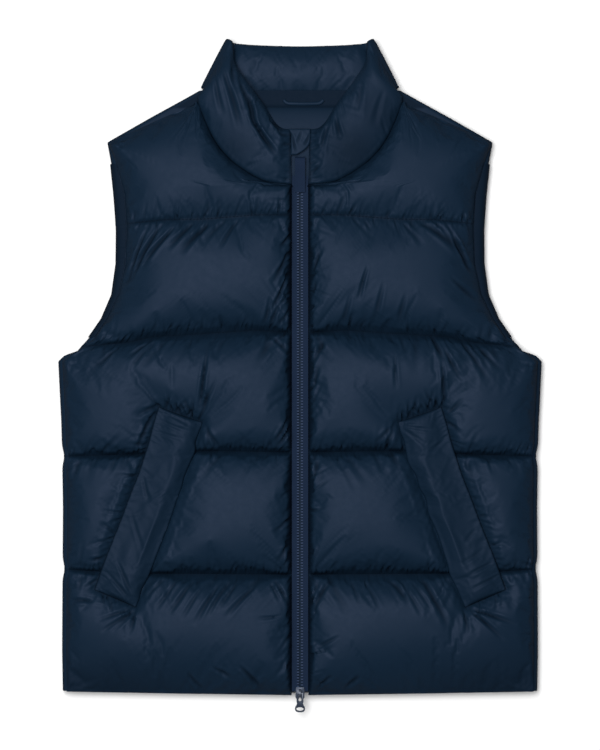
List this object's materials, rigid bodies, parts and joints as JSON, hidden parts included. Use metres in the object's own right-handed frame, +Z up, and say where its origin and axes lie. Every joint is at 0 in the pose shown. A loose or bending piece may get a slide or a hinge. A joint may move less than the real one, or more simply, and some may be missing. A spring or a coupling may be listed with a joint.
{
  "type": "padded vest, laid flat",
  "caption": "Sleeveless quilted puffer vest with a stand collar, two-way zip and slanted pocket welts, laid flat on its back.",
  "frame": {"origin": "on the surface the vest lies on, under the middle of its whole outline from the pull tab to the collar", "axes": "+X to the wearer's left, +Y from the hem to the collar, +Z up from the surface, out of the vest's front"},
  "size_m": [0.5644, 0.7838, 0.0555],
  "materials": {
    "nylon": "satin",
    "zip_tape": "matte",
    "zip_teeth": "gloss",
    "zip_metal": "gloss"
  },
  "bodies": {
    "vest": {"back_panel": "nylon", "front_panel_right": "nylon", "front_panel_left": "nylon", "collar": "nylon", "armhole_facing_right": "nylon", "armhole_facing_left": "nylon", "pocket_welt_right": "nylon", "pocket_welt_left": "nylon", "zip_tape_right": "zip_tape", "zip_tape_left": "zip_tape", "zip_chain": "zip_teeth", "zip_garage": "nylon", "slider_top": "zip_metal", "ribbon_pull": "zip_tape", "slider_bottom": "zip_metal", "hanger_loop": "nylon"},
    "tab": {"pull_tab": "zip_metal"}
  },
  "joints": [
    {"name": "tab_swing", "type": "hinge", "parent": "vest", "child": "tab", "pos_m": [0, -0.37044, 0.03145], "axis": [-1, 0, 0], "range_deg": [0, 180]}
  ]
}
